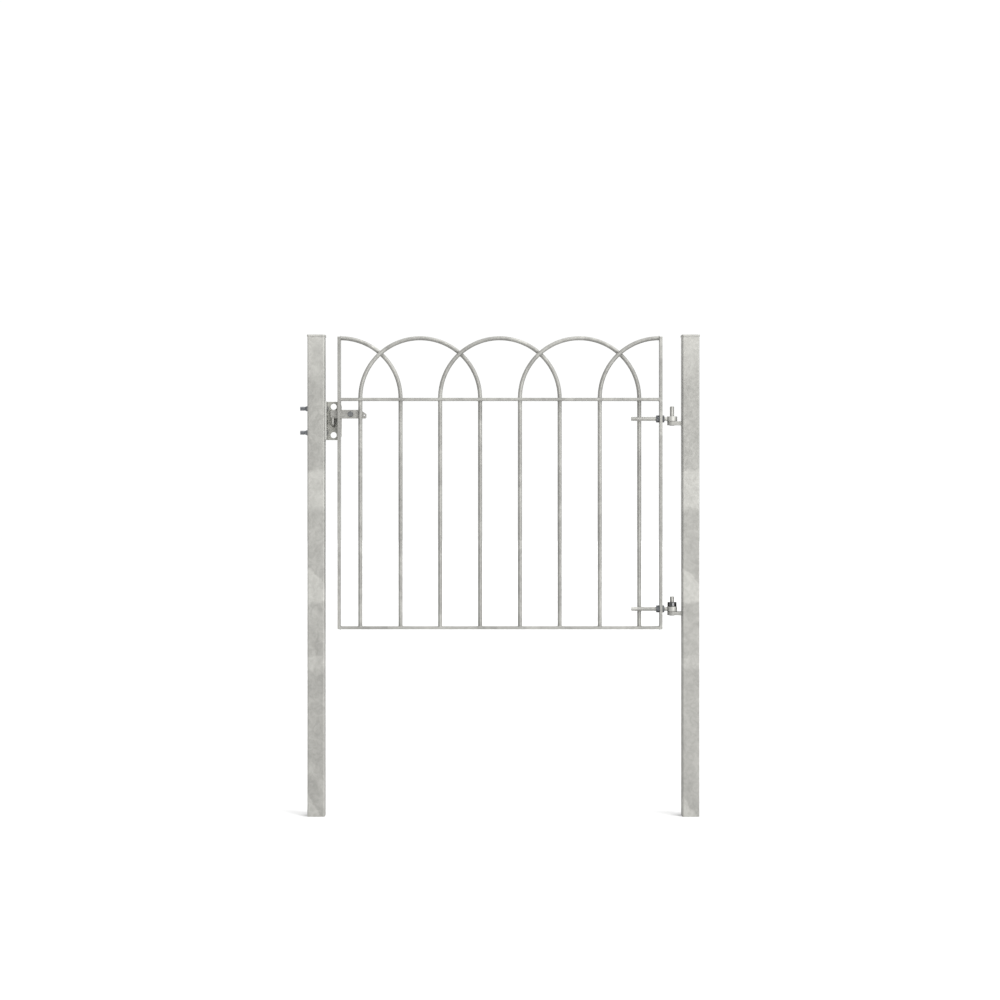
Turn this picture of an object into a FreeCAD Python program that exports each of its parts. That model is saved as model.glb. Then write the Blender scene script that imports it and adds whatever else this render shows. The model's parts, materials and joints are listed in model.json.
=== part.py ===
import FreeCAD, Part
import math
import os
from FreeCAD import Vector

# A steel garden gate: a leaf of hooped round bars, hung on two eyebolts between square posts.
# Millimetres. +X runs from the latch post to the hinge post, +Z is up, and the leaf opens
# towards -Y. The origin is on the ground line, midway between the posts, on their centre plane.

# ---- Driving dimensions: posts ----
POST_SIZE = 50.0
POST_WALL = 2.0
POST_CORNER_R = 4.0
POST_LENGTH = 1400.0
POST_BURIED = 500.0
CLEAR_OPENING = 1040.0

CAP_SHEET = 1.2
CAP_FIT = 0.1
CAP_SKIRT = 3.5
CAP_DOME = 0.8

# ---- Driving dimensions: leaf ----
LEAF_BOTTOM = 44.0            # above the ground line
RAIL_SPACING = 666.0          # from one rail's underside to the other's
LATCH_GAP = 37.0              # from the latch post to the latch stile
FLAT_T = 8.0                  # thickness of stiles and rails
FLAT_COVER = 2.41             # steel between a bar and the flat's edge
FLAT_EDGE_R = 0.8
BAR_D = 12.0
BARS = 8
HOOP_PITCHES = 3              # bar spacings from one leg of a hoop to the other
BAR_FIT = 0.15                # between a bar and its punched hole
CROSS_GAP = 0.1               # between two hoops where they cross
STILE_ABOVE_HOOP = 3.4        # stile end above the centre of the hoop that meets it

# ---- Driving dimensions: hinges ----
HINGE_SET = 28.5              # hinge axis to the post, and to the hinge stile
UPPER_EYE_DROP = 53.0         # eye centre below the top rail
LOWER_EYE_RISE = 51.0         # eye centre above the bottom rail
SHANK_D = 12.0
SHANK_LENGTH = 119.0          # from the eye's centre to the shank's end
SHANK_GAP = 1.1               # between the shank and the last bar, which it passes
SHANK_HOLE_FIT = 0.25
THREAD_FIT = 0.05
SHANK_CHAMFER = 1.2
PIN_CHAMFER = 1.5
NUT_T = 10.0
THIN_NUT_T = 6.0
NUT_AF_PER_D = 1.5            # width across flats, as a share of the thread's diameter
PIN_D = 12.0
PIN_ABOVE_EYE = 36.4          # pin's top above the eye's centre
PIN_RUN_FIT = 0.1             # radial clearance of the eye on the pin
PIN_SEAT_FIT = 0.05           # radial clearance of the pin in the lug
EYE_WALL = 9.2
EYE_OVER_SHANK = 2.0          # how much taller the eye is than the shank is thick
EYE_EDGE_R = 1.5
EYE_REST_GAP = 0.3
LUG_T = 11.0
LUG_WALL = 7.7
COLLAR_WALL = 7.5
COLLAR_HEIGHT = 13.0
COLLAR_CHAMFER = 1.2
SET_SCREW_D = 6.0
SET_SCREW_RECESS = 0.6
SET_SCREW_KEY = 3.0
SET_SCREW_GAP = 0.1           # between the screw's tip and the pin
DRILL_OVER = 0.5              # how far a drill starts outside what it cuts
SET_SCREW_ANGLE = 235.0       # direction that the screw faces, about the pin

# ---- Driving dimensions: catch on the latch post ----
CATCH_MID_BELOW_LEVER = 19.0  # bracket's middle below the lever's centre line
CATCH_HEIGHT = 112.0
CATCH_T = 5.0
CATCH_FRONT = 20.0            # post leg's reach in front of the post's centre plane
CATCH_BEND_R = 2.0            # inside radius of the bend
CATCH_CORNER_R = 15.0
CATCH_OVERLAP = 1.5           # how far the stop leg reaches past the stile
STOP_GAP = 0.5                # between the closed leaf and the stop leg
CATCH_HOLE_D = 18.0
CATCH_HOLE_SPACING = 83.0
CATCH_HOLE_FROM_POST = 23.0
CATCH_BOLT_D = 8.0
CATCH_BOLT_SPACING = 70.0
CATCH_BOLT_PAST_POST = 11.0   # bolt's end beyond the post's outer side
CATCH_BOLT_FIT = 0.5
DOME_D = 20.0
DOME_HEIGHT = 5.0
NECK_FIT = 0.1
BOLT_CHAMFER = 0.8
SHEAR_CONE_D = 18.0
SHEAR_CONE_TIP_D = 10.5
SHEAR_CONE_LENGTH = 9.5
SHEAR_NECK_D = 9.4
SHEAR_NECK_LENGTH = 0.8
SHEAR_HEX_AF = 10.0
SHEAR_HEX_LENGTH = 12.4

# ---- Driving dimensions: latch lever ----
LEVER_H = 25.0
LEVER_T = 5.0
LEVER_MID_BELOW_RAIL = 39.0   # lever's centre line below the top rail
TONGUE_PAST_STILE = 22.0
TONGUE_CHAMFER = 3.0
THUMB_REACH = 75.0            # from the latch stile's inner face to the thumb end
THUMB_LENGTH = 17.5           # tapered part
THUMB_DROP = 12.0
THUMB_HOLE_D = 4.0
THUMB_HOLE_FROM_END = 6.5
THUMB_HOLE_BELOW_MID = 3.0
LEVER_GAP = 0.3               # between the lever and what it turns beside
LEVER_LIFT_DEG = 22.0
SLOT_SIDE = 0.3
SLOT_END = 1.0
PLATE_EDGE_R = 0.6            # rolled or tumbled edges of lever, strap, keeper, lugs and bracket
STRAP_PAST_BAR = 5.0          # strap's end past the first bar's centre
WELD_FIT = 0.1
PIVOT_FROM_STILE = 29.0
PIVOT_D = 8.0
PIVOT_FIT = 0.1
PIVOT_BOLT_LENGTH = 25.0
PIVOT_HEAD_H = 5.3
PIVOT_AF = 13.0
WASHER_D = 16.0
WASHER_T = 1.6
LOCK_NUT_H = 8.0
LOCK_RING_H = 1.8
LOCK_RING_WALL = 1.3
LOCK_COLLAR_SHOULDER = 0.6    # step from the nut's flats to its round collar

KEEPER_T = 5.6
KEEPER_FROM_STILE = 11.0      # nearest side of the keeper to the latch stile
KEEPER_SIDE = 0.8             # clearance either side of the tongue
KEEPER_ARM_RISE = 5.5         # top of the front arm above the slot's floor
KEEPER_ARM_TOP = 1.5
KEEPER_RAMP_RUN = 11.5
KEEPER_RAMP_START = 5.5       # ramp's foot below the slot's floor
KEEPER_NOSE_H = 12.0
KEEPER_BACK_RISE = 20.0
KEEPER_ROOT_DROP = 25.0       # how far below the slot's floor the keeper's root ends

# ---- Derived places: posts and leaf ----
UP = Vector(0, 0, 1)
POST_FACE = CLEAR_OPENING / 2
POST_MID = POST_FACE + POST_SIZE / 2
POST_BASE_Z = -POST_BURIED
POST_TOP_Z = POST_BASE_Z + POST_LENGTH

LATCH_STILE_OUT = -POST_FACE + LATCH_GAP
LATCH_STILE_IN = LATCH_STILE_OUT + FLAT_T
HINGE_STILE_OUT = POST_FACE - 2 * HINGE_SET
HINGE_STILE_IN = HINGE_STILE_OUT - FLAT_T
PITCH = (HINGE_STILE_IN - LATCH_STILE_IN) / BARS
HALF_SPAN = HOOP_PITCHES * PITCH / 2
# Hoops lie in parallel planes, turned so far that crossing bars just clear each other.
HOOP_TURN = math.asin((BAR_D + CROSS_GAP) / ((HOOP_PITCHES - 1) * PITCH))
LEG_Y = HALF_SPAN * math.tan(HOOP_TURN)
HOOP_R = HALF_SPAN / math.cos(HOOP_TURN)
FLAT_DEPTH = 2 * (LEG_Y + BAR_D / 2 + FLAT_COVER)
TOP_RAIL_Z = LEAF_BOTTOM + RAIL_SPACING
SPRING_Z = TOP_RAIL_Z + FLAT_T
STILE_TOP_Z = SPRING_Z + HOOP_R + STILE_ABOVE_HOOP

# ---- Derived places: hinges ----
HINGE_X = POST_FACE - HINGE_SET
HINGE_Y = LEG_Y - BAR_D / 2 - SHANK_GAP - SHANK_D / 2
UPPER_EYE_Z = TOP_RAIL_Z - UPPER_EYE_DROP
LOWER_EYE_Z = LEAF_BOTTOM + FLAT_T + LOWER_EYE_RISE
EYE_BORE_R = PIN_D / 2 + PIN_RUN_FIT
EYE_HEIGHT = SHANK_D + EYE_OVER_SHANK
EYE_R = PIN_D / 2 + EYE_WALL
LUG_R = PIN_D / 2 + LUG_WALL
LUG_TOP_BELOW_EYE = EYE_HEIGHT / 2 + EYE_REST_GAP
NUT_AF = NUT_AF_PER_D * SHANK_D

# ---- Derived places: latch ----
LEVER_Z = TOP_RAIL_Z - LEVER_MID_BELOW_RAIL
PIVOT_X = LATCH_STILE_IN + PIVOT_FROM_STILE
STRAP_Y0 = -LEG_Y + BAR_D / 2 + WELD_FIT
STRAP_Y1 = STRAP_Y0 + LEVER_T
LEVER_Y0 = STRAP_Y1 + LEVER_GAP
LEVER_Y1 = LEVER_Y0 + LEVER_T
STOP_Y0 = FLAT_DEPTH / 2 + STOP_GAP
STOP_Y1 = STOP_Y0 + CATCH_T
CATCH_MID_Z = LEVER_Z - CATCH_MID_BELOW_LEVER
CATCH_Z0 = CATCH_MID_Z - CATCH_HEIGHT / 2
CATCH_X0 = -POST_FACE
CATCH_X1 = LATCH_STILE_IN + CATCH_OVERLAP
BOLT_HEAD_X = CATCH_X0 + CATCH_T
POST_OUTER_X = -POST_FACE - POST_SIZE
CATCH_BOLT_LENGTH = CATCH_T + POST_SIZE + CATCH_BOLT_PAST_POST
CATCH_BOLT_ZS = {
    "upper": CATCH_MID_Z + CATCH_BOLT_SPACING / 2,
    "lower": CATCH_MID_Z - CATCH_BOLT_SPACING / 2,
}
EYE_ZS = {"upper": UPPER_EYE_Z, "lower": LOWER_EYE_Z}


# ---- Shared shapes ----
def rounded_bar(width, depth, height, radius):
    """Upright bar centred on the Z axis, its four long edges rounded."""
    box = Part.makeBox(width, depth, height, Vector(-width / 2, -depth / 2, 0))
    upright = [e for e in box.Edges if abs(e.Vertexes[0].Z - e.Vertexes[1].Z) > height / 2]
    return box.makeFillet(radius, upright)


def placed(shape, base, direction=UP):
    """Copy of a shape built along +Z, moved to base and turned to point along direction."""
    copy = shape.copy()
    copy.Placement = FreeCAD.Placement(base, FreeCAD.Rotation(UP, direction))
    return copy


def between(x0, x1, y0, y1, z0, z1):
    return Part.makeBox(x1 - x0, y1 - y0, z1 - z0, Vector(x0, y0, z0))


def edges_at(shape, **place):
    """Straight edges whose two ends share the given coordinates, such as x=0, z=10."""
    def on_place(vertex):
        return all(abs(getattr(vertex, axis.upper()) - value) < 1e-6 for axis, value in place.items())
    return [e for e in shape.Edges if len(e.Vertexes) == 2 and all(map(on_place, e.Vertexes))]


def softened(plate):
    """Plate with every edge slightly rounded, as it comes from the zinc bath."""
    return plate.makeFillet(PLATE_EDGE_R, plate.Edges)


def chamfered_rod(radius, length, chamfer):
    """Round bar along +Z with its far end chamfered."""
    rod = Part.makeCylinder(radius, length - chamfer)
    return rod.fuse(Part.makeCone(radius, radius - chamfer, chamfer, Vector(0, 0, length - chamfer)))


def hexagon_prism(across_flats, height):
    radius = across_flats / 2 / math.cos(math.pi / 6)
    corners = [Vector(radius * math.cos(k * math.pi / 3), radius * math.sin(k * math.pi / 3), 0)
               for k in range(7)]
    return Part.Face(Part.makePolygon(corners)).extrude(Vector(0, 0, height))


def hexagon_nut(across_flats, height, bore_r):
    """Nut standing on Z = 0, its corners turned off at 30 degrees at both ends."""
    corner_r = across_flats / 2 / math.cos(math.pi / 6)
    drop = (corner_r - across_flats / 2) * math.tan(math.pi / 6)
    lower = Part.makeCone(across_flats / 2, corner_r, drop)
    middle = Part.makeCylinder(corner_r, height - 2 * drop, Vector(0, 0, drop))
    upper = Part.makeCone(corner_r, across_flats / 2, drop, Vector(0, 0, height - drop))
    turned = lower.fuse([middle, upper])
    return hexagon_prism(across_flats, height).common(turned).cut(Part.makeCylinder(bore_r, height))


def washer(outer_d, bore_r, thickness):
    return Part.makeCylinder(outer_d / 2, thickness).cut(Part.makeCylinder(bore_r, thickness))


# ---- Posts ----
def post(middle_x):
    inner = POST_SIZE - 2 * POST_WALL
    tube = rounded_bar(POST_SIZE, POST_SIZE, POST_LENGTH, POST_CORNER_R)
    tube = tube.cut(rounded_bar(inner, inner, POST_LENGTH, POST_CORNER_R - POST_WALL))
    tube.translate(Vector(middle_x, 0, POST_BASE_Z))
    return tube


def latch_post():
    hole_r = CATCH_BOLT_D / 2 + CATCH_BOLT_FIT
    drill = Part.makeCylinder(hole_r, POST_SIZE)
    drills = [placed(drill, Vector(-POST_FACE, 0, z), Vector(-1, 0, 0)) for z in CATCH_BOLT_ZS.values()]
    return post(-POST_MID).cut(drills)


def post_cap(middle_x):
    """Pressed cap: a skirt outside the tube and a slightly crowned top."""
    inside = POST_SIZE + 2 * CAP_FIT
    outside = inside + 2 * CAP_SHEET
    corner = POST_CORNER_R + CAP_FIT
    shell = rounded_bar(outside, outside, CAP_SKIRT + CAP_SHEET + CAP_DOME, corner + CAP_SHEET)
    crown_r = (outside ** 2 / 2 + CAP_DOME ** 2) / (2 * CAP_DOME)
    top = CAP_SKIRT + CAP_SHEET + CAP_DOME
    shell = shell.common(Part.makeSphere(crown_r, Vector(0, 0, top - crown_r)))
    shell = shell.cut(rounded_bar(inside, inside, CAP_SKIRT, corner))
    shell.translate(Vector(middle_x, 0, POST_TOP_Z - CAP_SKIRT))
    return shell


# ---- Leaf frame ----
def stile(outer_x, inner_x):
    flat = rounded_bar(abs(inner_x - outer_x), FLAT_DEPTH, STILE_TOP_Z - LEAF_BOTTOM, FLAT_EDGE_R)
    flat.translate(Vector((outer_x + inner_x) / 2, 0, LEAF_BOTTOM))
    return flat


def latch_stile():
    """The slot lets the lever's tongue through and leaves room for its lift."""
    lift = math.radians(LEVER_LIFT_DEG)
    reach = PIVOT_FROM_STILE + FLAT_T
    raised = reach * math.tan(lift) + LEVER_H / 2 / math.cos(lift)
    slot = between(LATCH_STILE_OUT, LATCH_STILE_IN, LEVER_Y0 - SLOT_SIDE, LEVER_Y1 + SLOT_SIDE,
                   LEVER_Z - LEVER_H / 2 - SLOT_END, LEVER_Z + raised + SLOT_END)
    return stile(LATCH_STILE_OUT, LATCH_STILE_IN).cut(slot)


def hinge_stile():
    drill = Part.makeCylinder(SHANK_D / 2 + SHANK_HOLE_FIT, FLAT_T)
    drills = [placed(drill, Vector(HINGE_STILE_IN, HINGE_Y, z), Vector(1, 0, 0)) for z in EYE_ZS.values()]
    return stile(HINGE_STILE_OUT, HINGE_STILE_IN).cut(drills)


def bar_place(number):
    """Centre of a bar, counted from 1 at the latch side: odd bars stand in front."""
    y = -LEG_Y if number % 2 else LEG_Y
    return LATCH_STILE_IN + (number - 0.5) * PITCH, y


def rail(bottom_z):
    length = HINGE_STILE_IN - LATCH_STILE_IN
    flat = rounded_bar(FLAT_T, FLAT_DEPTH, length, FLAT_EDGE_R)
    flat = placed(flat, Vector(LATCH_STILE_IN, 0, bottom_z + FLAT_T / 2), Vector(1, 0, 0))
    hole_r = BAR_D / 2 + BAR_FIT
    return flat.cut([Part.makeCylinder(hole_r, FLAT_T, Vector(*bar_place(n), bottom_z))
                     for n in range(1, BARS + 1)])


# ---- Hoops ----
def leg(number):
    return Part.makeCylinder(BAR_D / 2, SPRING_Z - LEAF_BOTTOM, Vector(*bar_place(number), LEAF_BOTTOM))


def arch(centre_x):
    """Half ring of round bar on the top rail, its latch end in front and its hinge end behind."""
    ring = Part.makeTorus(HOOP_R, BAR_D / 2, Vector(0, 0, 0), UP, 0, 360, 180)
    ring.rotate(Vector(0, 0, 0), Vector(1, 0, 0), 90)
    ring.rotate(Vector(0, 0, 0), UP, math.degrees(HOOP_TURN))
    ring.translate(Vector(centre_x, 0, SPRING_Z))
    return ring


def hoop(first_bar):
    last_bar = first_bar + HOOP_PITCHES
    centre_x = (bar_place(first_bar)[0] + bar_place(last_bar)[0]) / 2
    return arch(centre_x).fuse([leg(first_bar), leg(last_bar)]).removeSplitter()


def half_hoop(number, stile_x, towards):
    """Leg and quarter ring, ending square against a stile; towards is +1 for the hinge stile."""
    centre_x = bar_place(number)[0] + towards * HALF_SPAN
    past = HALF_SPAN + BAR_D
    x0, x1 = sorted((stile_x, stile_x + towards * past))
    beyond = between(x0, x1, -past, past, SPRING_Z - BAR_D, SPRING_Z + past + BAR_D)
    return arch(centre_x).cut(beyond).fuse(leg(number)).removeSplitter()


# ---- Hinges ----
def eyebolt(eye_z):
    shank = placed(chamfered_rod(SHANK_D / 2, SHANK_LENGTH, SHANK_CHAMFER),
                   Vector(HINGE_X, HINGE_Y, eye_z), Vector(-1, 0, 0))
    ring = Part.makeCylinder(EYE_R, EYE_HEIGHT, Vector(HINGE_X, HINGE_Y, eye_z - EYE_HEIGHT / 2))
    rims = [e for e in ring.Edges if isinstance(e.Curve, Part.Circle)]
    ring = ring.makeFillet(EYE_EDGE_R, rims)
    bore = Part.makeCylinder(EYE_BORE_R, EYE_HEIGHT, Vector(HINGE_X, HINGE_Y, eye_z - EYE_HEIGHT / 2))
    return ring.fuse(shank).cut(bore)


def eyebolt_nut(eye_z, thickness, start_x, direction):
    nut = hexagon_nut(NUT_AF, thickness, SHANK_D / 2 + THREAD_FIT)
    return placed(nut, Vector(start_x, HINGE_Y, eye_z), Vector(direction, 0, 0))


def hinge_lug(eye_z):
    """Plate from the post's face, its free end round about the pin."""
    base_z = eye_z - LUG_TOP_BELOW_EYE - LUG_T
    plate = between(HINGE_X, POST_FACE, HINGE_Y - LUG_R, HINGE_Y + LUG_R, base_z, base_z + LUG_T)
    nose = Part.makeCylinder(LUG_R, LUG_T, Vector(HINGE_X, HINGE_Y, base_z))
    seat = Part.makeCylinder(PIN_D / 2 + PIN_SEAT_FIT, LUG_T, Vector(HINGE_X, HINGE_Y, base_z))
    return softened(plate.fuse(nose).removeSplitter()).cut(seat)


def hinge_pin(eye_z):
    length = LUG_T + LUG_TOP_BELOW_EYE + PIN_ABOVE_EYE
    base = Vector(HINGE_X, HINGE_Y, eye_z + PIN_ABOVE_EYE - length)
    return placed(chamfered_rod(PIN_D / 2, length, PIN_CHAMFER), base)


def collar_bottom_z():
    return LOWER_EYE_Z + EYE_HEIGHT / 2 + EYE_REST_GAP


def set_screw_place():
    """Outer end of the screw's hole, and the direction it faces."""
    angle = math.radians(SET_SCREW_ANGLE)
    outward = Vector(math.cos(angle), math.sin(angle), 0)
    middle = Vector(HINGE_X, HINGE_Y, collar_bottom_z() + COLLAR_HEIGHT / 2)
    return middle + outward * (PIN_D / 2 + COLLAR_WALL), outward


def locking_collar():
    """Ring fixed on the lower pin above the eye, so that the leaf can't be lifted off."""
    radius = PIN_D / 2 + COLLAR_WALL
    ring = Part.makeCylinder(radius, COLLAR_HEIGHT)
    rims = [e for e in ring.Edges if isinstance(e.Curve, Part.Circle)]
    ring = ring.makeChamfer(COLLAR_CHAMFER, rims)
    ring = ring.cut(Part.makeCylinder(PIN_D / 2 + PIN_SEAT_FIT, COLLAR_HEIGHT))
    ring.translate(Vector(HINGE_X, HINGE_Y, collar_bottom_z()))
    mouth, outward = set_screw_place()
    thread = Part.makeCylinder(SET_SCREW_D / 2 + THREAD_FIT, COLLAR_WALL + 2 * DRILL_OVER)
    return ring.cut(placed(thread, mouth + outward * DRILL_OVER, outward * -1))


def collar_set_screw():
    length = COLLAR_WALL - SET_SCREW_RECESS - SET_SCREW_GAP
    screw = Part.makeCylinder(SET_SCREW_D / 2, length)
    screw = screw.cut(hexagon_prism(SET_SCREW_KEY, length / 2))
    mouth, outward = set_screw_place()
    return placed(screw, mouth - outward * SET_SCREW_RECESS, outward * -1)


# ---- Catch on the latch post ----
def catch_bracket():
    """Bent plate: one leg bolted to the post, the other behind the closed leaf as its stop."""
    z1 = CATCH_Z0 + CATCH_HEIGHT
    post_leg = between(CATCH_X0, BOLT_HEAD_X, -CATCH_FRONT, STOP_Y1, CATCH_Z0, z1)
    stop_leg = between(CATCH_X0, CATCH_X1, STOP_Y0, STOP_Y1, CATCH_Z0, z1)
    plate = post_leg.fuse(stop_leg).removeSplitter()
    plate = plate.makeFillet(CATCH_BEND_R, edges_at(plate, x=BOLT_HEAD_X, y=STOP_Y0))
    plate = plate.makeFillet(CATCH_BEND_R + CATCH_T, edges_at(plate, x=CATCH_X0, y=STOP_Y1))
    corners = edges_at(plate, x=CATCH_X1, z=CATCH_Z0) + edges_at(plate, x=CATCH_X1, z=z1)
    plate = softened(plate.makeFillet(CATCH_CORNER_R, corners))
    cuts = []
    for side in (-1, 1):
        hole = Part.makeCylinder(CATCH_HOLE_D / 2, CATCH_T)
        base = Vector(CATCH_X0 + CATCH_HOLE_FROM_POST, STOP_Y0, CATCH_MID_Z + side * CATCH_HOLE_SPACING / 2)
        cuts.append(placed(hole, base, Vector(0, 1, 0)))
    half = CATCH_BOLT_D / 2 + NECK_FIT
    for z in CATCH_BOLT_ZS.values():
        cuts.append(between(CATCH_X0, BOLT_HEAD_X, -half, half, z - half, z + half))
    return plate.cut(cuts)


def keeper_hook():
    """Upright plate on the stop leg: a slot for the tongue, behind an arm with a ramp."""
    floor_z = LEVER_Z - LEVER_H / 2 - LEVER_GAP
    slot_y0, slot_y1 = LEVER_Y0 - KEEPER_SIDE, LEVER_Y1 + KEEPER_SIDE
    arm_y = slot_y0 - KEEPER_ARM_TOP
    nose_y = arm_y - KEEPER_RAMP_RUN
    arm_z = floor_z + KEEPER_ARM_RISE
    ramp_z = floor_z - KEEPER_RAMP_START
    root_z = floor_z - KEEPER_ROOT_DROP
    outline = [(STOP_Y0, root_z), (nose_y, ramp_z - KEEPER_NOSE_H), (nose_y, ramp_z), (arm_y, arm_z),
               (slot_y0, arm_z), (slot_y0, floor_z), (slot_y1, floor_z),
               (slot_y1, floor_z + KEEPER_BACK_RISE), (STOP_Y0, floor_z + KEEPER_BACK_RISE)]
    x = LATCH_STILE_OUT - KEEPER_FROM_STILE - KEEPER_T
    points = [Vector(x, y, z) for y, z in outline + outline[:1]]
    return softened(Part.Face(Part.makePolygon(points)).extrude(Vector(KEEPER_T, 0, 0)))


def catch_bolt(z):
    """Coach bolt: domed head and square neck on the bracket, shank through the post."""
    dome_r = (DOME_D ** 2 / 4 + DOME_HEIGHT ** 2) / (2 * DOME_HEIGHT)
    dome = Part.makeSphere(dome_r, Vector(0, 0, dome_r - DOME_HEIGHT))
    dome = dome.common(Part.makeCylinder(DOME_D / 2, DOME_HEIGHT, Vector(0, 0, -DOME_HEIGHT)))
    half = CATCH_BOLT_D / 2
    neck = between(-half, half, -half, half, 0, CATCH_T)
    shank = chamfered_rod(half, CATCH_BOLT_LENGTH, BOLT_CHAMFER)
    return placed(dome.fuse([neck, shank]), Vector(BOLT_HEAD_X, 0, z), Vector(-1, 0, 0))


def shear_nut(z):
    """Cone that stays on, with the hexagon that would shear off still in place."""
    cone = Part.makeCone(SHEAR_CONE_D / 2, SHEAR_CONE_TIP_D / 2, SHEAR_CONE_LENGTH)
    neck = Part.makeCylinder(SHEAR_NECK_D / 2, SHEAR_NECK_LENGTH, Vector(0, 0, SHEAR_CONE_LENGTH))
    hexagon = hexagon_prism(SHEAR_HEX_AF, SHEAR_HEX_LENGTH)
    hexagon.translate(Vector(0, 0, SHEAR_CONE_LENGTH + SHEAR_NECK_LENGTH))
    bore = Part.makeCylinder(CATCH_BOLT_D / 2 + THREAD_FIT, CATCH_BOLT_PAST_POST + DRILL_OVER)
    nut = cone.fuse([neck, hexagon]).cut(bore)
    return placed(nut, Vector(POST_OUTER_X, 0, z), Vector(-1, 0, 0))


# ---- Latch lever and its pivot ----
def latch_lever():
    """Flat lever: tongue through the stile, thumb end tapered from above."""
    x0 = LATCH_STILE_OUT - TONGUE_PAST_STILE
    x1 = LATCH_STILE_IN + THUMB_REACH
    z0, z1 = LEVER_Z - LEVER_H / 2, LEVER_Z + LEVER_H / 2
    outline = [(x0 + TONGUE_CHAMFER, z0), (x1 - TONGUE_CHAMFER, z0), (x1, z0 + TONGUE_CHAMFER),
               (x1, z1 - THUMB_DROP), (x1 - THUMB_LENGTH, z1), (x0 + TONGUE_CHAMFER, z1),
               (x0, z1 - TONGUE_CHAMFER), (x0, z0 + TONGUE_CHAMFER)]
    points = [Vector(x, LEVER_Y0, z) for x, z in outline + outline[:1]]
    plate = softened(Part.Face(Part.makePolygon(points)).extrude(Vector(0, LEVER_T, 0)))
    pivot = Part.makeCylinder(PIVOT_D / 2 + PIVOT_FIT, LEVER_T)
    eye = Part.makeCylinder(THUMB_HOLE_D / 2, LEVER_T)
    eye_place = Vector(x1 - THUMB_HOLE_FROM_END, LEVER_Y0, LEVER_Z - THUMB_HOLE_BELOW_MID)
    return plate.cut([placed(pivot, Vector(PIVOT_X, LEVER_Y0, LEVER_Z), Vector(0, 1, 0)),
                      placed(eye, eye_place, Vector(0, 1, 0))])


def latch_strap():
    x1 = bar_place(1)[0] + STRAP_PAST_BAR
    plate = between(LATCH_STILE_IN, x1, STRAP_Y0, STRAP_Y1, LEVER_Z - LEVER_H / 2, LEVER_Z + LEVER_H / 2)
    plate = softened(plate)
    hole = Part.makeCylinder(PIVOT_D / 2 + PIVOT_FIT, LEVER_T)
    return plate.cut(placed(hole, Vector(PIVOT_X, STRAP_Y0, LEVER_Z), Vector(0, 1, 0)))


def pivot_part(shape, y):
    return placed(shape, Vector(PIVOT_X, y, LEVER_Z), Vector(0, 1, 0))


def pivot_bolt():
    head = hexagon_nut(PIVOT_AF, PIVOT_HEAD_H, PIVOT_D / 2)
    shank = chamfered_rod(PIVOT_D / 2, PIVOT_HEAD_H + PIVOT_BOLT_LENGTH, BOLT_CHAMFER)
    return pivot_part(head.fuse(shank).removeSplitter(), STRAP_Y0 - WASHER_T - PIVOT_HEAD_H)


def pivot_washer(y):
    return pivot_part(washer(WASHER_D, PIVOT_D / 2 + PIVOT_FIT, WASHER_T), y)


def lock_nut_y():
    return LEVER_Y1 + LEVER_GAP + WASHER_T


def pivot_lock_nut():
    """Hexagon with a round collar behind it, hollowed for the plastic locking ring."""
    collar_r = PIVOT_AF / 2 - LOCK_COLLAR_SHOULDER
    body_h = LOCK_NUT_H - LOCK_RING_H
    body = hexagon_nut(PIVOT_AF, body_h, PIVOT_D / 2 + THREAD_FIT)
    collar = washer(2 * collar_r, PIVOT_D / 2 + LOCK_RING_WALL, LOCK_RING_H)
    collar.translate(Vector(0, 0, body_h))
    return pivot_part(body.fuse(collar), lock_nut_y())


def lock_nut_ring():
    ring = washer(PIVOT_D + 2 * LOCK_RING_WALL - 2 * THREAD_FIT, PIVOT_D / 2 + THREAD_FIT, LOCK_RING_H)
    return pivot_part(ring, lock_nut_y() + LOCK_NUT_H - LOCK_RING_H)


# ---- The gate ----
def all_parts():
    parts = {
        "latch_post": latch_post(),
        "hinge_post": post(POST_MID),
        "latch_post_cap": post_cap(-POST_MID),
        "hinge_post_cap": post_cap(POST_MID),
        "catch_bracket": catch_bracket(),
        "keeper_hook": keeper_hook(),
        "locking_collar": locking_collar(),
        "collar_set_screw": collar_set_screw(),
        "latch_stile": latch_stile(),
        "hinge_stile": hinge_stile(),
        "top_rail": rail(TOP_RAIL_Z),
        "bottom_rail": rail(LEAF_BOTTOM),
        "latch_side_hoop": hoop(1),
        "middle_hoop": hoop(3),
        "hinge_side_hoop": hoop(5),
        "latch_half_hoop": half_hoop(2, LATCH_STILE_IN, -1),
        "hinge_half_hoop": half_hoop(BARS - 1, HINGE_STILE_IN, 1),
        "latch_lever": latch_lever(),
        "latch_strap": latch_strap(),
        "pivot_bolt": pivot_bolt(),
        "front_pivot_washer": pivot_washer(STRAP_Y0 - WASHER_T),
        "rear_pivot_washer": pivot_washer(LEVER_Y1 + LEVER_GAP),
        "pivot_lock_nut": pivot_lock_nut(),
        "lock_nut_ring": lock_nut_ring(),
    }
    for level, z in CATCH_BOLT_ZS.items():
        parts[level + "_catch_bolt"] = catch_bolt(z)
        parts[level + "_shear_nut"] = shear_nut(z)
    for level, z in EYE_ZS.items():
        parts[level + "_eyebolt"] = eyebolt(z)
        parts[level + "_inner_nut"] = eyebolt_nut(z, NUT_T, HINGE_STILE_IN, -1)
        parts[level + "_outer_nut"] = eyebolt_nut(z, THIN_NUT_T, HINGE_STILE_OUT, 1)
        parts[level + "_hinge_lug"] = hinge_lug(z)
        parts[level + "_hinge_pin"] = hinge_pin(z)
    return parts


os.makedirs("parts", exist_ok=True)
for name, shape in all_parts().items():
    shape.exportStep("parts/" + name + ".step")
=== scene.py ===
import json
import math
import bmesh
import bpy
from mathutils import Matrix, Vector


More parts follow.
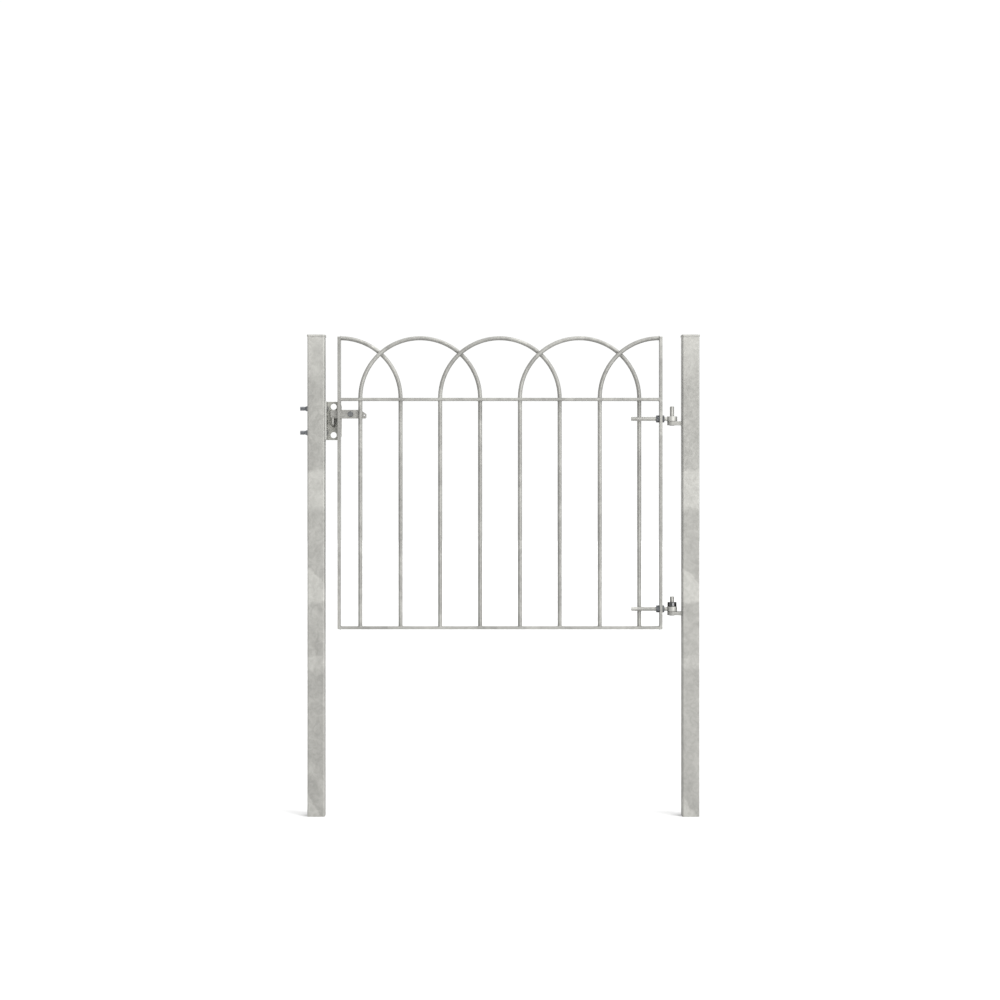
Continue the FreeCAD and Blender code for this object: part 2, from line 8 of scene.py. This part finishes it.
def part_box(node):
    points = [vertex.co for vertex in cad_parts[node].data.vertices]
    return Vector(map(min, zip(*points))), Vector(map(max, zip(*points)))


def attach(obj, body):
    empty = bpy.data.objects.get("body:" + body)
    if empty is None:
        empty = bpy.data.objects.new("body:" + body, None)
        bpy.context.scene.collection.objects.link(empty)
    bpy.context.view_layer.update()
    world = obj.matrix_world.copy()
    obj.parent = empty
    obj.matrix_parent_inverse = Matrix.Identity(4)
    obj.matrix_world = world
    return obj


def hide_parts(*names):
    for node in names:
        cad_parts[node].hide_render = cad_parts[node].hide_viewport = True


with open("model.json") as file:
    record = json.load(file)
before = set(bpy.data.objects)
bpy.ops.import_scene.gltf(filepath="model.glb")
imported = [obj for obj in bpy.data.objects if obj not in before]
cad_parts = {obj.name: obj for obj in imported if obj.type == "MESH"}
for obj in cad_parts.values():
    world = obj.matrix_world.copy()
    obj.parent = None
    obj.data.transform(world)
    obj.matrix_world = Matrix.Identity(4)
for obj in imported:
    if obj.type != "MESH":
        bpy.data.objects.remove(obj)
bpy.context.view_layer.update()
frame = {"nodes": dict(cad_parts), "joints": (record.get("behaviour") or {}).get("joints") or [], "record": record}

BAR_R = 0.006
SHANK_R = 0.006
SHANK_PITCH = 0.00175
SHANK_THREAD_DEPTH = 0.0007
EYE_BORE_R = 0.0061
EYE_EDGE_R = 0.0015
PIVOT_R = 0.004
PIVOT_PITCH = 0.00125
BAR_WELD_GAP = 0.0003       # from a bar's surface to the middle line of its ring weld
MERGE_DISTANCE = 1e-6
SHARP_ANGLE = math.radians(80)

FLOOR_HALF_SIZE = 40.0
FLOOR_ALBEDO = 0.52
CAMERA_PLACE = (-0.010, -5.906, 0.4206)     # level, square to the gate
CAMERA_LENS = 72.86                         # on a 36 mm sensor

# Base colours as (dark, light) pairs.
ZINC_POST = ((0.168, 0.166, 0.155), (0.327, 0.324, 0.304))
ZINC_LEAF = ((0.149, 0.147, 0.138), (0.298, 0.296, 0.277))
ZINC_LUG = ((0.148, 0.147, 0.138), (0.298, 0.296, 0.278))
# Painted light: the eyebolts' zinc is lighter than the post zinc, to offset the shade in the thread's grooves.
ZINC_EYEBOLT_LIGHTENED = ((0.205, 0.203, 0.190), (0.385, 0.382, 0.360))
ZINC_BRACKET = ((0.247, 0.247, 0.226), (0.432, 0.430, 0.393))
# Painted highlight: lighter colour for the bracket's front edge, standing in for light catching that edge.
FRONT_EDGE_HIGHLIGHT = (0.32, 0.32, 0.303)
# Painted light: the latch post's zinc is coloured lighter and the hinge post's darker, standing in for the unequal
# light falling on the two posts.
POST_PAINTED_LIGHT = {"latch": 1.07, "hinge": 0.985}
DULL_ROUGHNESS = (0.44, 0.62)
SMOOTH_ROUGHNESS = (0.34, 0.50)

# Lighter bands that the zinc bath leaves on the posts: upper edge, lower edge and the
# slope of each across the post, measured up from the ground line.
BAND_WANDER = 0.035
DIP_BANDS = (     # top, bottom, top slope, bottom slope, softness, gain
    (1.00, 0.825, 0.0, 0.5, 0.050, 1.0),
    (0.505, 0.400, 0.0, 0.2, 0.008, 0.85),
    (0.178, 0.124, -1.0, 0.1, 0.004, 0.95),
    (-0.030, -0.068, 0.15, 0.05, 0.006, 0.55),
    (-0.512, -0.60, -1.5, 0.0, 0.004, 0.8),
)

RUN_TILT = (0.0, math.radians(24), 0.0)     # the zinc ran off while the gate hung aslant

KEY_ENERGY = 1.7
KEY_ANGLE = math.radians(24)
KEY_FROM = (0.42, -0.40, 0.81)
PANEL_SIZE = (4.6, 2.2)
PANEL_ENERGY = 385.0
PANEL_PLACE = (4.1, -8.6, 0.6)
PANEL_AIM = (0.0, 0.0, 0.3)

# Studio sky: direction of each lobe, cosine where it starts, cosine where it is full, gain.
SKY_STRENGTH = 1.03
SKY_LOBES = (
    ((0.0, 0.0, 1.0), 0.28, 1.0, 1.5),
    ((0.80, -0.35, 0.50), 0.30, 1.0, 0.9),
    ((-0.64, 0.0, 0.77), 0.77, 0.93, -0.95),
)


# ---- Node helpers ----
def add_node(tree, kind, **settings):
    """New node: settings named after an input set that socket, and the rest set attributes."""
    node = tree.nodes.new(kind)
    for key, value in settings.items():
        if key in node.inputs:
            if isinstance(value, bpy.types.NodeSocket):
                tree.links.new(value, node.inputs[key])
            else:
                node.inputs[key].default_value = value
        else:
            setattr(node, key, value)
    return node


def math_node(tree, operation, a, b=None, clamp=False):
    node = tree.nodes.new("ShaderNodeMath")
    node.operation = operation
    node.use_clamp = clamp
    for socket, value in zip(node.inputs, (a, b)):
        if isinstance(value, bpy.types.NodeSocket):
            tree.links.new(value, socket)
        elif value is not None:
            socket.default_value = value
    return node.outputs[0]


def weighted_sum(tree, terms, start=0.0):
    """start plus each (pattern, weight) term's product."""
    total = start
    for pattern, weight in terms:
        total = math_node(tree, "ADD", math_node(tree, "MULTIPLY", pattern, weight), total)
    return total


def map_range(tree, value, low, high, to_low=0.0, to_high=1.0):
    node = tree.nodes.new("ShaderNodeMapRange")
    node.interpolation_type = "SMOOTHSTEP"
    tree.links.new(value, node.inputs["Value"])
    for key, number in (("From Min", low), ("From Max", high), ("To Min", to_low), ("To Max", to_high)):
        node.inputs[key].default_value = number
    return node.outputs["Result"]


def mix_color(tree, factor, first, second):
    node = tree.nodes.new("ShaderNodeMix")
    node.data_type = "RGBA"
    tree.links.new(factor, node.inputs[0])
    for socket, value in ((node.inputs[6], first), (node.inputs[7], second)):
        if isinstance(value, bpy.types.NodeSocket):
            tree.links.new(value, socket)
        else:
            socket.default_value = (*value, 1.0)
    return node.outputs[2]


def noise(tree, coords, scale, detail=3.0, roughness=0.55, distortion=0.0):
    node = add_node(tree, "ShaderNodeTexNoise", Vector=coords, Scale=scale, Detail=detail,
                    Roughness=roughness, Distortion=distortion)
    return node.outputs["Fac"]


def stretched(tree, coords, scale, turn=(0.0, 0.0, 0.0)):
    turned = add_node(tree, "ShaderNodeMapping", Vector=coords, Rotation=turn).outputs["Vector"]
    return add_node(tree, "ShaderNodeMapping", Vector=turned, Scale=scale).outputs["Vector"]


def bump(tree, height, strength, distance, normal=None):
    settings = {"Height": height, "Strength": strength, "Distance": distance}
    if normal is not None:
        settings["Normal"] = normal
    return add_node(tree, "ShaderNodeBump", **settings).outputs["Normal"]


def new_material(name):
    material = bpy.data.materials.new(name)
    material.use_nodes = True
    tree = material.node_tree
    shader = tree.nodes["Principled BSDF"]
    coords = tree.nodes.new("ShaderNodeTexCoord").outputs["Object"]
    return material, tree, shader, coords


def connect(tree, shader, **outputs):
    for key, socket in outputs.items():
        tree.links.new(socket, shader.inputs[key.replace("_", " ")])


# ---- Materials ----
def dip_bands(tree, coords, post_x):
    """Sum of the light bands, with wandering edges, on a post centred at post_x."""
    axes = add_node(tree, "ShaderNodeSeparateXYZ", Vector=coords).outputs
    across = math_node(tree, "ADD", math_node(tree, "SUBTRACT", axes["X"], post_x), axes["Y"])
    uneven = math_node(tree, "SUBTRACT", noise(tree, coords, 38.0, 4.0), 0.5)
    height = math_node(tree, "ADD", axes["Z"], math_node(tree, "MULTIPLY", uneven, BAND_WANDER))
    bands = []
    for top, bottom, top_slope, bottom_slope, soft, gain in DIP_BANDS:
        below_top = math_node(tree, "SUBTRACT", math_node(tree, "MULTIPLY", across, top_slope), height)
        upper = map_range(tree, below_top, -top - soft, -top + soft)
        slope = math_node(tree, "MULTIPLY", across, bottom_slope)
        above_bottom = math_node(tree, "SUBTRACT", height, slope)
        lower_soft = soft * 1.6
        lower = map_range(tree, above_bottom, bottom - lower_soft, bottom + lower_soft)
        bands.append((math_node(tree, "MULTIPLY", upper, lower), gain))
    return weighted_sum(tree, bands)


def galvanised(name, colors, post_x=None, roughness=DULL_ROUGHNESS):
    """Hot-dip zinc: broad clouds, patches with clear edges, small spangle and fine grain.
    On a post, the dip bands take the place of the patches."""
    material, tree, shader, coords = new_material(name)
    clouds = noise(tree, coords, 13.0, 5.0, 0.6, 0.7)
    mottle = noise(tree, coords, 48.0, 5.0, 0.62, 1.6)
    runs = noise(tree, stretched(tree, coords, (26.0, 26.0, 9.0), RUN_TILT), 1.0, 4.0, 0.6, 1.1)
    spangle = add_node(tree, "ShaderNodeTexVoronoi", Vector=coords, Scale=150.0, Randomness=1.0)
    crystal = add_node(tree, "ShaderNodeSeparateColor", Color=spangle.outputs["Color"]).outputs[0]
    grain = noise(tree, coords, 520.0, 3.0, 0.7)

    terms = [(map_range(tree, clouds, 0.28, 0.72), 0.24), (map_range(tree, mottle, 0.32, 0.68), 0.27),
             (map_range(tree, runs, 0.3, 0.7), 0.12), (crystal, 0.06), (grain, 0.06)]
    if post_x is None:
        patches = map_range(tree, noise(tree, coords, 4.6, 3.0, 0.5, 1.6), 0.50, 0.545)
        tone = weighted_sum(tree, terms + [(patches, 0.24)])
    else:
        tone = weighted_sum(tree, terms + [(dip_bands(tree, coords, post_x), 0.40)], start=-0.02)
    tone = math_node(tree, "MULTIPLY", tone, 1.0, clamp=True)

    color = mix_color(tree, tone, *colors)
    rough = map_range(tree, weighted_sum(tree, [(crystal, 0.35)], start=clouds), 0.35, 0.95, *roughness)
    normal = bump(tree, clouds, 0.10, 0.004)
    normal = bump(tree, crystal, 0.05, 0.0002, normal)
    normal = bump(tree, grain, 0.12, 0.0003, normal)
    connect(tree, shader, Base_Color=color, Roughness=rough, Normal=normal)
    shader.inputs["Metallic"].default_value = 0.5
    return material


def bracket_zinc(name):
    """Dull dark zinc of the pressed bracket, with a painted highlight along the edge that faces front."""
    material = galvanised(name, ZINC_BRACKET, roughness=(0.46, 0.62))
    tree = material.node_tree
    shader = tree.nodes["Principled BSDF"]
    plain = shader.inputs["Base Color"].links[0].from_socket
    front_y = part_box("catch_bracket")[0].y
    coords = tree.nodes["Texture Coordinate"].outputs["Object"]
    depth = add_node(tree, "ShaderNodeSeparateXYZ", Vector=coords).outputs["Y"]
    # Painted highlight: the strip along the bracket's front edge is coloured lighter.
    front_edge_highlight = map_range(tree, depth, front_y + 0.0012, front_y + 0.0004)
    connect(tree, shader, Base_Color=mix_color(tree, front_edge_highlight, plain, FRONT_EDGE_HIGHLIGHT))
    return material


def zinc_plate(name, dark, light, roughness, metallic=1.0):
    """Smooth plated fixings: faint bluish blotches and turning marks."""
    material, tree, shader, coords = new_material(name)
    blotches = noise(tree, coords, 190.0, 4.0, 0.6, 0.5)
    marks = noise(tree, stretched(tree, coords, (2600.0, 500.0, 500.0)), 1.0, 2.0)
    color = mix_color(tree, map_range(tree, blotches, 0.3, 0.7), dark, light)
    rough = map_range(tree, marks, 0.3, 0.7, roughness - 0.06, roughness + 0.08)
    connect(tree, shader, Base_Color=color, Roughness=rough, Normal=bump(tree, marks, 0.08, 0.0002))
    shader.inputs["Metallic"].default_value = metallic
    return material


def painted_reflection_collar(name):
    """Polished collar, turned smooth, coloured near-black as a painted reflection of dark surroundings, with a few
    brighter rubbed spots.
    """
    material, tree, shader, coords = new_material(name)
    rubbed = map_range(tree, noise(tree, coords, 420.0, 5.0, 0.7), 0.58, 0.76)
    # Painted reflection: the near-black base colour stands in for dark surroundings mirrored in the polished
    # steel.
    color = mix_color(tree, rubbed, (0.070, 0.070, 0.071), (0.13, 0.13, 0.13))
    rough = map_range(tree, noise(tree, coords, 900.0, 3.0), 0.3, 0.7, 0.15, 0.23)
    turning = noise(tree, stretched(tree, coords, (60.0, 60.0, 2400.0)), 1.0, 2.0)
    connect(tree, shader, Base_Color=color, Roughness=rough, Normal=bump(tree, turning, 0.06, 0.0002))
    shader.inputs["Metallic"].default_value = 1.0
    return material


def nylon_ring(name):
    material, tree, shader, coords = new_material(name)
    mottle = noise(tree, coords, 700.0, 3.0)
    color = mix_color(tree, mottle, (0.62, 0.63, 0.66), (0.78, 0.79, 0.81))
    connect(tree, shader, Base_Color=color, Normal=bump(tree, mottle, 0.1, 0.0002))
    shader.inputs["Roughness"].default_value = 0.42
    return material


def assign(piece, material):
    piece.data.materials.clear()
    piece.data.materials.append(material)


# ---- Mesh helpers ----
class MeshData:
    """Vertices and faces gathered from several shapes that make one piece."""

    def __init__(self):
        self.vertices = []
        self.faces = []

    def add(self, vertices, faces):
        start = len(self.vertices)
        self.vertices += [tuple(v) for v in vertices]
        self.faces += [tuple(start + i for i in face) for face in faces]

    def piece(self, name, material, body, slot="galvanised_steel"):
        """Object of the gathered shapes, smooth but for sharp edges, riding on a body."""
        mesh = bpy.data.meshes.new(name)
        mesh.from_pydata(self.vertices, [], self.faces)
        joined = bmesh.new()
        joined.from_mesh(mesh)
        bmesh.ops.remove_doubles(joined, verts=joined.verts, dist=MERGE_DISTANCE)
        bmesh.ops.recalc_face_normals(joined, faces=joined.faces)
        joined.to_mesh(mesh)
        joined.free()
        mesh.validate()
        mesh.shade_smooth()
        mesh.set_sharp_from_angle(angle=SHARP_ANGLE)
        piece = bpy.data.objects.new(name, mesh)
        bpy.context.scene.collection.objects.link(piece)
        assign(piece, material)
        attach(piece, body)
        return piece

    def add_revolved(self, profile, place, segments):
        """Closed ring from a closed (radius, height) profile turned about place's own Z axis."""
        vertices, faces = [], []
        count = len(profile)
        for s in range(segments):
            angle = 2 * math.pi * s / segments
            for radius, height in profile:
                point = Vector((radius * math.cos(angle), radius * math.sin(angle), height))
                vertices.append(place @ point)
        for s in range(segments):
            nxt = (s + 1) % segments
            for k in range(count):
                after = (k + 1) % count
                faces.append((s * count + k, nxt * count + k, nxt * count + after, s * count + after))
        self.add(vertices, faces)

    def add_thread(self, place, radius, depth, pitch, length, segments=36):
        """Solid threaded rod along place's Z from 0 to length: the crests follow a helix and
        run out to the thread's root at both ends."""
        steps = 4
        root = radius - depth
        radii = (radius, radius - depth * 0.5, root, radius - depth * 0.5)
        rows = (math.ceil(length / pitch) + 2) * steps
        vertices, faces = [], []
        for s in range(segments):
            angle = 2 * math.pi * s / segments
            for row in range(rows + 1):
                height = (row / steps - 1 + s / segments) * pitch
                end_room = min(max(height, 0.0), max(length - height, 0.0), pitch) / pitch
                crest = root + (radii[row % steps] - root) * end_room
                height = min(max(height, 0.0), length)
                point = Vector((crest * math.cos(angle), crest * math.sin(angle), height))
                vertices.append(place @ point)
        stride = rows + 1
        for s in range(segments):
            shift = steps if s == segments - 1 else 0
            nxt = (s + 1) % segments
            for row in range(rows - shift):
                a, b = s * stride + row, nxt * stride + row + shift
                faces.append((a, b, b + 1, a + 1))
        self.add(vertices, faces)
        for height in (0.0, length):
            cap = []
            for s in range(segments):
                angle = 2 * math.pi * s / segments
                cap.append(place @ Vector((root * math.cos(angle), root * math.sin(angle), height)))
            self.add(cap, [tuple(range(segments))])

    def add_bead(self, path, radius, closed=True, sides=8):
        """Weld bead: a tube along path whose section swells once for each drop of weld."""
        vertices, faces = [], []
        count = len(path)
        for i, point in enumerate(path):
            ahead = path[(i + 1) % count] if closed or i + 1 < count else point
            behind = path[i - 1] if closed or i else point
            along = (ahead - behind).normalized()
            side = along.cross(Vector((0.31, 0.52, 0.79))).normalized()
            up = along.cross(side)
            drops = 0.2 * abs(math.sin(i * 1.3))
            drift = 0.08 * math.sin(i * 0.7 + point.x * 90)
            swell = radius * (0.86 + drops + drift)
            if not closed and i in (0, count - 1):
                swell *= 0.45
            for k in range(sides):
                angle = 2 * math.pi * k / sides
                vertices.append(point + (side * math.cos(angle) + up * math.sin(angle)) * swell)
        for i in range(count if closed else count - 1):
            nxt = (i + 1) % count
            for k in range(sides):
                after = (k + 1) % sides
                faces.append((i * sides + k, i * sides + after, nxt * sides + after, nxt * sides + k))
        if not closed:
            faces.append(tuple(reversed(range(sides))))
            faces.append(tuple(range((count - 1) * sides, count * sides)))
        self.add(vertices, faces)


def circle_path(centre, radius, axis, steps=28):
    """Points round centre, in the plane square to axis."""
    turn = Vector((0, 0, 1)).rotation_difference(axis)
    path = []
    for i in range(steps):
        angle = 2 * math.pi * i / steps
        path.append(centre + turn @ Vector((radius * math.cos(angle), radius * math.sin(angle), 0)))
    return path


def line_path(start, end, step=0.0012):
    count = max(3, round((end - start).length / step))
    return [start.lerp(end, i / count) for i in range(count + 1)]


def loop_path(corners, step):
    path = []
    for start, end in zip(corners, corners[1:] + corners[:1]):
        path += line_path(start, end, step)[:-1]
    return path


# ---- Places taken from the frame ----
def leg_places():
    """(x, y) of the eight bars, from the latch side."""
    leg_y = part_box("middle_hoop")[1].y - BAR_R
    places = []
    for name in ("latch_side_hoop", "middle_hoop", "hinge_side_hoop"):
        low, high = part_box(name)
        places += [(low.x + BAR_R, -leg_y), (high.x - BAR_R, leg_y)]
    places.append((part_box("latch_half_hoop")[1].x - BAR_R, leg_y))
    places.append((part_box("hinge_half_hoop")[0].x + BAR_R, -leg_y))
    return sorted(places)


def joint_place(name):
    joint = next(j for j in frame["joints"] if j["name"] == name)
    return Vector(joint["pos_m"])


# ---- Pieces ----
def eyebolt(level, material):
    """Rolled thread, plain neck that flares into the eye, and the eye's rounded ring."""
    low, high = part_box(level + "_eyebolt")
    hinge = joint_place("leaf_swing")
    eye_z = (low.z + high.z) / 2
    eye_r = high.x - hinge.x
    half = (high.z - low.z) / 2
    thread_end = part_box(level + "_outer_nut")[1].x + 0.002
    data = MeshData()

    along_x = Matrix.Rotation(math.radians(90), 4, "Y")
    data.add_thread(Matrix.Translation((low.x, hinge.y, eye_z)) @ along_x,
                    SHANK_R, SHANK_THREAD_DEPTH, SHANK_PITCH, thread_end - low.x)
    neck_start = Matrix.Translation((thread_end, hinge.y, eye_z)) @ along_x
    neck_length = hinge.x - EYE_BORE_R - 0.0012 - thread_end
    flare = [(0.0, 0.0), (SHANK_R - 0.0004, 0.0)]
    for i in range(9):
        t = i / 8
        flare.append((SHANK_R - 0.0003 + 0.0012 * t ** 3, neck_length * (0.04 + 0.96 * t)))
    flare.append((0.0, neck_length))
    data.add_revolved(flare, neck_start, 40)

    ring = []
    corners = ((eye_r, half, -1, 90), (eye_r, -half, -1, 0),
               (EYE_BORE_R, -half, 1, -90), (EYE_BORE_R, half, 1, 180))
    for radius, height, inward, first_angle in corners:
        round_r = EYE_EDGE_R if inward < 0 else EYE_EDGE_R / 2
        for k in range(5):
            angle = math.radians(first_angle - 22.5 * k)
            ring.append((radius + inward * round_r + round_r * math.cos(angle),
                         height - math.copysign(round_r, height) + round_r * math.sin(angle)))
    data.add_revolved(ring, Matrix.Translation((hinge.x, hinge.y, eye_z)), 72)
    piece = data.piece(level + "_forged_eyebolt", material, "leaf")
    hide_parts(level + "_eyebolt")


def pivot_bolt_thread(material):
    """Thread on the end of the pivot bolt, behind the lock nut."""
    low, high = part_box("pivot_bolt")
    middle = (low + high) / 2
    nut_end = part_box("pivot_lock_nut")[1].y
    along_y = Matrix.Rotation(math.radians(-90), 4, "X")
    place = Matrix.Translation((middle.x, nut_end - 0.001, middle.z)) @ along_y
    data = MeshData()
    data.add_thread(place, PIVOT_R + 0.00005, 0.0006, PIVOT_PITCH, high.y - nut_end + 0.0009)
    data.piece("pivot_bolt_thread", material, "leaf", "zinc_plated_fixings")


def bar_welds(material):
    """Fillet welds where the bars pass the rails."""
    top_low, top_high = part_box("top_rail")
    bottom_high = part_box("bottom_rail")[1]
    data = MeshData()
    up = Vector((0, 0, 1))
    for x, y in leg_places():
        for z in (top_low.z, top_high.z, bottom_high.z):
            data.add_bead(circle_path(Vector((x, y, z)), BAR_R + BAR_WELD_GAP, up), radius=0.0012)
    data.piece("bar_welds", material, "leaf")


def frame_welds(material):
    """Welds between rails and stiles, and round the half hoops' ends."""
    data = MeshData()
    for rail in ("top_rail", "bottom_rail"):
        low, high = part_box(rail)
        for x in (low.x, high.x):
            corners = [Vector((x, low.y + 0.001, low.z)), Vector((x, high.y - 0.001, low.z)),
                       Vector((x, high.y - 0.001, high.z)), Vector((x, low.y + 0.001, high.z))]
            data.add_bead(loop_path(corners, 0.0014), radius=0.0014)
    for hoop, side in (("latch_half_hoop", 0), ("hinge_half_hoop", 1)):
        low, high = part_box(hoop)
        centre = Vector(((low.x, high.x)[side], 0, high.z - BAR_R))
        ring = circle_path(centre, BAR_R + BAR_WELD_GAP, Vector((1, 0, 0)))
        data.add_bead(ring, radius=0.0013)
    data.piece("frame_welds", material, "leaf")


def crossing_tacks(material):
    """Short tack welds where two hoops cross."""
    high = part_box("middle_hoop")[1]
    spring_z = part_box("top_rail")[1].z
    places = leg_places()
    half_span = (places[5][0] - places[2][0]) / 2
    rise = high.z - BAR_R - spring_z
    data = MeshData()
    for left in range(0, 8, 2):
        x = (places[left][0] + places[left + 1][0]) / 2
        offset = half_span - (places[left + 1][0] - places[left][0]) / 2
        z = spring_z + rise * math.sqrt(1 - (offset / half_span) ** 2)
        for side in (-1, 1):
            start = Vector((x, -0.0012, z + side * 0.0052))
            end = Vector((x, 0.0012, z + side * 0.0052))
            data.add_bead(line_path(start, end, 0.0006), radius=0.0017, closed=False)
    data.piece("crossing_tacks", material, "leaf")


def strap_welds(material):
    """Beads round the strap's end on the first bar, and where it passes the bar."""
    low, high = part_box("latch_strap")
    bar_x = leg_places()[0][0]
    data = MeshData()
    for z in (low.z, high.z):
        start, end = Vector((low.x, low.y, z)), Vector((low.x, high.y, z))
        data.add_bead(line_path(start, end), radius=0.0015, closed=False)
    for y in (low.y, high.y):
        start, end = Vector((low.x, y, low.z)), Vector((low.x, y, high.z))
        data.add_bead(line_path(start, end), radius=0.0013, closed=False)
    for x in (bar_x - 0.0042, bar_x + 0.0042):
        start = Vector((x, low.y - 0.0006, low.z + 0.002))
        end = Vector((x, low.y - 0.0006, high.z - 0.002))
        data.add_bead(line_path(start, end), radius=0.0013, closed=False)
    data.piece("strap_welds", material, "leaf")


def lug_welds(material):
    """Beads all round each lug at the post, and round the pin under the lug."""
    data = MeshData()
    hinge = joint_place("leaf_swing")
    for level in ("upper", "lower"):
        low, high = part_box(level + "_hinge_lug")
        corners = [Vector((high.x, low.y, low.z)), Vector((high.x, high.y, low.z)),
                   Vector((high.x, high.y, high.z)), Vector((high.x, low.y, high.z))]
        data.add_bead(loop_path(corners, 0.0015), radius=0.0021)
        foot = Vector((hinge.x, hinge.y, low.z))
        data.add_bead(circle_path(foot, 0.0062, Vector((0, 0, 1))), radius=0.0013)
    data.piece("lug_welds", material, "posts")


def keeper_welds(material):
    """A bead down each side of the keeper hook at the post."""
    low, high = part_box("keeper_hook")
    data = MeshData()
    for x in (low.x, high.x):
        start = Vector((x, high.y, low.z + 0.002))
        end = Vector((x, high.y, high.z - 0.001))
        data.add_bead(line_path(start, end), radius=0.0015, closed=False)
    data.piece("keeper_welds", material, "posts")


# ---- Stage, light and camera ----
def floor():
    mesh = bpy.data.meshes.new("floor")
    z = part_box("latch_post")[0].z
    half = FLOOR_HALF_SIZE
    corners = [(-half, -half, z), (half, -half, z), (half, half, z), (-half, half, z)]
    mesh.from_pydata(corners, [], [(0, 1, 2, 3)])
    plane = bpy.data.objects.new("floor", mesh)
    bpy.context.scene.collection.objects.link(plane)
    material, _, shader, _ = new_material("floor_white")
    shader.inputs["Base Color"].default_value = (FLOOR_ALBEDO, FLOOR_ALBEDO, FLOOR_ALBEDO, 1.0)
    shader.inputs["Roughness"].default_value = 0.9
    assign(plane, material)


def studio_light():
    """White surroundings, dimmer high on the left, a soft key from above and a wide panel."""
    world = bpy.data.worlds.new("studio")
    bpy.context.scene.world = world
    world.use_nodes = True
    tree = world.node_tree
    toward = tree.nodes.new("ShaderNodeTexCoord").outputs["Generated"]
    strength = SKY_STRENGTH
    for direction, start, full, gain in SKY_LOBES:
        lobe = add_node(tree, "ShaderNodeVectorMath", operation="DOT_PRODUCT")
        tree.links.new(toward, lobe.inputs[0])
        lobe.inputs[1].default_value = Vector(direction).normalized()
        added = map_range(tree, lobe.outputs["Value"], start, full, 0.0, gain)
        strength = math_node(tree, "ADD", added, strength)
    tree.links.new(strength, tree.nodes["Background"].inputs["Strength"])
    tree.nodes["Background"].inputs["Color"].default_value = (1.0, 1.0, 1.0, 1.0)

    sun = bpy.data.lights.new("soft_key", "SUN")
    sun.energy = KEY_ENERGY
    sun.angle = KEY_ANGLE
    lamp = bpy.data.objects.new("soft_key", sun)
    lamp.rotation_euler = Vector(KEY_FROM).to_track_quat("Z", "Y").to_euler()
    bpy.context.scene.collection.objects.link(lamp)

    panel = bpy.data.lights.new("side_panel", "AREA")
    panel.shape = "RECTANGLE"
    panel.size, panel.size_y = PANEL_SIZE
    panel.energy = PANEL_ENERGY
    stand = bpy.data.objects.new("side_panel", panel)
    stand.location = PANEL_PLACE
    from_gate = stand.location - Vector(PANEL_AIM)
    stand.rotation_euler = from_gate.to_track_quat("Z", "Y").to_euler()
    bpy.context.scene.collection.objects.link(stand)


def camera():
    """Level view square to the gate, from 5.9 m, at half the posts' height."""
    data = bpy.data.cameras.new("camera")
    data.lens = CAMERA_LENS
    data.sensor_width = 36.0
    view = bpy.data.objects.new("camera", data)
    view.location = CAMERA_PLACE
    view.rotation_euler = (math.radians(90), 0, 0)
    bpy.context.scene.collection.objects.link(view)
    bpy.context.scene.camera = view


# ---- The scene ----
galvanised_leaf = galvanised("galvanised_leaf", ZINC_LEAF)
# Eyebolt zinc painted lighter to offset the shade in its thread.
lightened_bolt_zinc = galvanised("lightened_bolt_zinc", ZINC_EYEBOLT_LIGHTENED, roughness=SMOOTH_ROUGHNESS)
galvanised_lug = galvanised("galvanised_lug", ZINC_LUG)
galvanised_small = galvanised("galvanised_small", ZINC_POST, roughness=SMOOTH_ROUGHNESS)
bracket_steel = bracket_zinc("grey_bracket_steel")
fixings = zinc_plate("zinc_plated_fixings", (0.085, 0.089, 0.096), (0.17, 0.175, 0.184), 0.32)
dark_nuts = zinc_plate("zinc_plated_nuts", (0.038, 0.040, 0.042), (0.095, 0.098, 0.102), 0.27)
pivot_zinc = zinc_plate("zinc_plated_pivot", (0.108, 0.110, 0.112), (0.172, 0.175, 0.177), 0.34)
bolt_zinc = zinc_plate("zinc_plated_bolts", (0.104, 0.104, 0.101), (0.165, 0.165, 0.160), 0.42, 0.4)
by_slot = {
    "galvanised_steel": galvanised_leaf,
    "zinc_plated_fixings": fixings,
    "grey_bracket_steel": bracket_steel,
    "dark_collar_steel": painted_reflection_collar("dark_collar_steel"),
    "nylon": nylon_ring("nylon"),
}
for part in frame["record"]["subparts"]:
    assign(frame["nodes"][part["node"]], by_slot[part["material_slot"]])

# Nodes whose finish differs from the rest of their slot.
own_finish = (
    (bolt_zinc, ("upper_catch_bolt", "lower_catch_bolt")),
    (pivot_zinc, ("pivot_bolt", "front_pivot_washer", "rear_pivot_washer")),
    (dark_nuts, ("upper_inner_nut", "upper_outer_nut", "lower_inner_nut", "lower_outer_nut")),
    (galvanised_small, ("upper_hinge_pin", "lower_hinge_pin", "latch_lever", "latch_strap",
                        "keeper_hook")),
    (galvanised_lug, ("upper_hinge_lug", "lower_hinge_lug")),
)
for finish, nodes in own_finish:
    for node in nodes:
        assign(frame["nodes"][node], finish)
# Each post gets its own copy of the zinc, scaled by its painted-light gain.
for side, shade in POST_PAINTED_LIGHT.items():
    low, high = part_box(side + "_post")
    colors = [[shade * channel for channel in zinc] for zinc in ZINC_POST]
    post_zinc = galvanised("galvanised_" + side + "_post", colors, post_x=(low.x + high.x) / 2)
    for node in (side + "_post", side + "_post_cap"):
        assign(frame["nodes"][node], post_zinc)

for level in ("upper", "lower"):
    eyebolt(level, lightened_bolt_zinc)
pivot_bolt_thread(fixings)
bar_welds(galvanised_leaf)
frame_welds(galvanised_leaf)
crossing_tacks(galvanised_leaf)
strap_welds(galvanised_small)
lug_welds(galvanised_lug)
keeper_welds(galvanised_small)

floor()
studio_light()
camera()
bpy.context.scene.view_settings.view_transform = "Standard"
